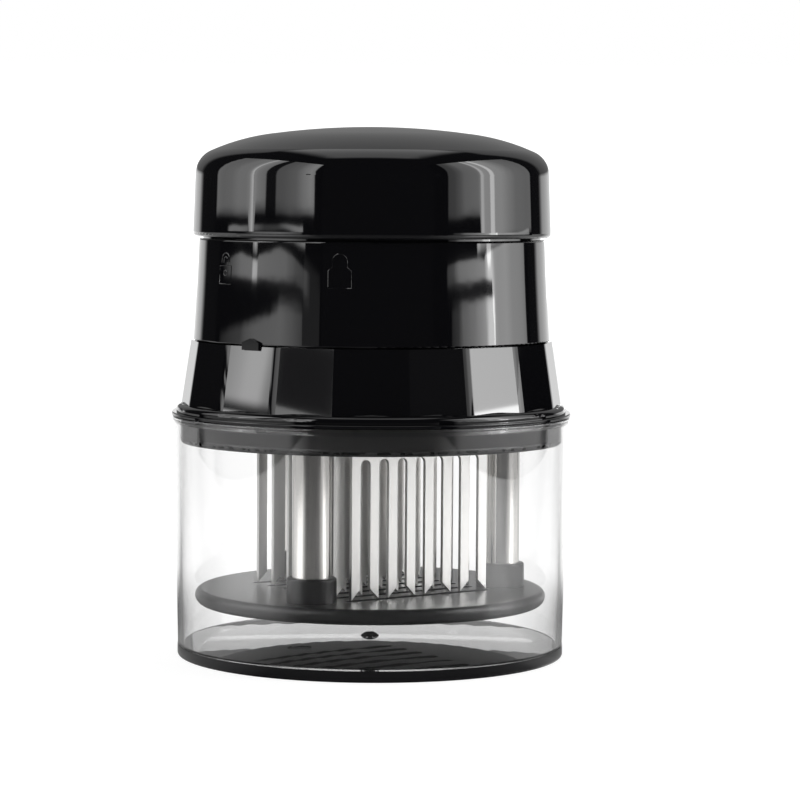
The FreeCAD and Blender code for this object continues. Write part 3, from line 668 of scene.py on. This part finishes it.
def makeCup():
    low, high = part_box("clear_cup")
    bottom = low[2] / mm
    rim = high[2] / mm
    lipRadius = high[0] / mm
    mouth = lipRadius - cup["lip"]
    foot = mouth - cup["draft"]
    floorTop = bottom + cup["floor"]
    under = bottom + cup["airGap"]
    seat = bottom - cup["seat"]
    seatEdge = foot - cup["seatWidth"]
    section = [(cup["hole"], floorTop), (cup["hole"], under), (seatEdge, under),
               (seatEdge + cup["seatSlope"], seat)]
    corner = cup["footCorner"]
    radius = corner["radius"]
    section += arc(foot - radius, seat + radius, radius, -90, 0, corner["steps"])
    lipBottom = rim - cup["lipHeight"]
    section += [(mouth, lipBottom - cup["lip"])]
    corner = cup["lipCorner"]
    radius = corner["radius"]
    section += arc(lipRadius - radius, lipBottom + radius, radius, -45, 0, corner["lowSteps"])
    section += arc(lipRadius - radius, rim - radius, radius, 0, 90, corner["topSteps"])
    section += [(mouth - cup["wall"], rim)]
    corner = cup["innerCorner"]
    radius = corner["radius"]
    floorEdge = foot - cup["wall"] - radius
    edgeTop = floorTop - cup["floorDome"]
    section += arc(floorEdge, edgeTop + radius, radius, 0, -90, corner["steps"])
    section += [(floorEdge * share, floorTop - cup["floorDome"] * share ** 2) for share in cup["domeShares"]]
    shell = turnedShell("clearCupShell", held(section), cup["steps"], clearStyrene)
    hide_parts("clear_cup")
    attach(shell, "cup")


makeCup()
print("cup made")

# return springs: wound wire in the tubes, closed at both ends, in millimetres; "stroke" is the guard's travel
spring = {"radius": 3.0, "wire": 0.8, "turns": 17, "deadTurns": 1.2, "steps": 22, "sides": 8, "stroke": 24.0}


def coiledWire(name, centre, bottom, top):
    # a wire swept along its helix; the first and last turns lie close together
    wireRadius = spring["wire"] / 2
    coilRadius = spring["radius"] - wireRadius
    sides = spring["sides"]
    dead = spring["deadTurns"]
    live = spring["turns"] - 2 * dead
    rise = top - bottom - 2 * wireRadius - 2 * dead * spring["wire"]
    count = spring["turns"] * spring["steps"]
    vertices = []
    faces = []
    for i in range(count + 1):
        turns = spring["turns"] * i / count
        liveTurns = min(max(turns - dead, 0), live)
        level = bottom + wireRadius + (turns - liveTurns) * spring["wire"] + rise * liveTurns / live
        angle = 2 * math.pi * turns
        out = Vector((math.cos(angle), math.sin(angle), 0))
        for j in range(sides):
            side = 2 * math.pi * j / sides
            point = centre + out * (coilRadius + wireRadius * math.cos(side))
            vertices.append((point.x, point.y, level + wireRadius * math.sin(side)))
    for i in range(count):
        for j in range(sides):
            a = i * sides + j
            b = i * sides + (j + 1) % sides
            faces.append((a, b, b + sides, a + sides))
    faces.append(tuple(range(sides)))
    faces.append(tuple(range(len(vertices) - sides, len(vertices))))
    return newPiece(name, vertices, faces, springWire)


def makeSprings():
    for number in (1, 2, 3):
        node = "return_spring_" + str(number)
        low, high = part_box(node)
        centre = Vector(((low[0] + high[0]) / 2 / mm, (low[1] + high[1]) / 2 / mm, 0))
        bottom = low[2] / mm
        top = high[2] / mm
        coil = coiledWire("returnCoil" + str(number), centre, bottom, top)
        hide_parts(node)
        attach(coil, "housing")
        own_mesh(coil)


makeSprings()
print("springs wound")

# lock signs: thin raised lines on the barrel, a padlock with a keyhole and a plain padlock outline. Sizes are
# in millimetres, "angle" is in degrees from the front, "middle" is a height above the table, and a sign's
# other heights are measured from its middle
signs = {
    "line": 0.13,  # the bead's radius
    "sink": 0.05,
    "sides": 8,
    "roundSteps": 12,
    "barrelFoot": 64.6,
    "barrelTop": 85.3,
    "taper": 1.05,
    "flare": 0.32,
    "closed": {"angle": -54.5, "middle": 79.6, "halfWidth": 2.0, "foot": -3.1, "shoulder": 0.5,
               "shackle": 1.35, "shackleBar": 0.75, "legs": 1.2, "keyhole": 0.55, "keyholeAt": -0.9},
    "outline": {"angle": -10.0, "middle": 79.2, "halfWidth": 2.3, "foot": -3.0, "shoulder": 0.4,
                "shackle": 1.5, "shackleFoot": 0.7, "legs": 1.1},
}


def barrelRadius(level):
    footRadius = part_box("barrel")[1][0] / mm
    share = (level - signs["barrelFoot"]) / (signs["barrelTop"] - signs["barrelFoot"])
    return footRadius - signs["taper"] * share - signs["flare"] * share * (1 - share)


def raisedLine(name, path, sign, closed):
    # a fine half-sunk bead that follows a flat path laid on the barrel
    points = []
    outs = []
    for x, z in path:
        level = sign["middle"] + z
        radius = barrelRadius(level) - signs["sink"]
        at = math.radians(sign["angle"] - 90) + x / radius
        outs.append(Vector((math.cos(at), math.sin(at), 0)))
        points.append(outs[-1] * radius + Vector((0, 0, level)))
    sides = signs["sides"]
    vertices = []
    faces = []
    count = len(points)
    for i, (point, out) in enumerate(zip(points, outs)):
        ahead = points[(i + 1) % count] if closed or i < count - 1 else point
        back = points[i - 1] if closed or i > 0 else point
        along = (ahead - back).normalized()
        across = along.cross(out).normalized()
        for j in range(sides):
            turn = 2 * math.pi * j / sides
            vertices.append(point + signs["line"] * (out * math.sin(turn) + across * math.cos(turn)))
    for i in range(count if closed else count - 1):
        for j in range(sides):
            k = (j + 1) % sides
            here = i * sides
            there = (i + 1) % count * sides
            faces.append((here + j, here + k, there + k, there + j))
    if not closed:
        faces.append(tuple(range(sides)))
        faces.append(tuple(range(len(vertices) - sides, len(vertices))))
    line = newPiece(name, vertices, faces, glossAbs)
    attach(line, "handle")


def roundPath(radius, middle, turn):
    # points along a circle, anticlockwise from its right side
    count = signs["roundSteps"]
    return [(radius * math.cos(turn * i / count), middle + radius * math.sin(turn * i / count))
            for i in range(count + 1)]


def archPath(radius, bottom, legs):
    # an upright U: up one leg, round the top and down the other
    crown = roundPath(radius, bottom + legs, math.pi)
    return [(radius, bottom)] + crown + [(-radius, bottom)]


def makeSigns():
    sign = signs["closed"]
    half = sign["halfWidth"]
    body = [(-half, sign["foot"]), (half, sign["foot"]), (half, sign["shoulder"]), (-half, sign["shoulder"])]
    raisedLine("closedLockBody", body, sign, True)
    for part, radius in (("Outer", sign["shackle"]), ("Inner", sign["shackle"] - sign["shackleBar"])):
        raisedLine("closedLockShackle" + part, archPath(radius, sign["shoulder"], sign["legs"]), sign, False)
    keyhole = roundPath(sign["keyhole"], sign["keyholeAt"], 2 * math.pi)[:-1]
    raisedLine("closedLockKeyhole", keyhole, sign, True)
    sign = signs["outline"]
    half = sign["halfWidth"]
    shackle = archPath(sign["shackle"], sign["shoulder"] + sign["shackleFoot"], sign["legs"])
    contour = [(-half, sign["foot"]), (half, sign["foot"]), (half, sign["shoulder"])] + shackle
    contour += [(-half, sign["shoulder"])]
    raisedLine("plainLockOutline", contour, sign, True)


makeSigns()
print("signs raised")
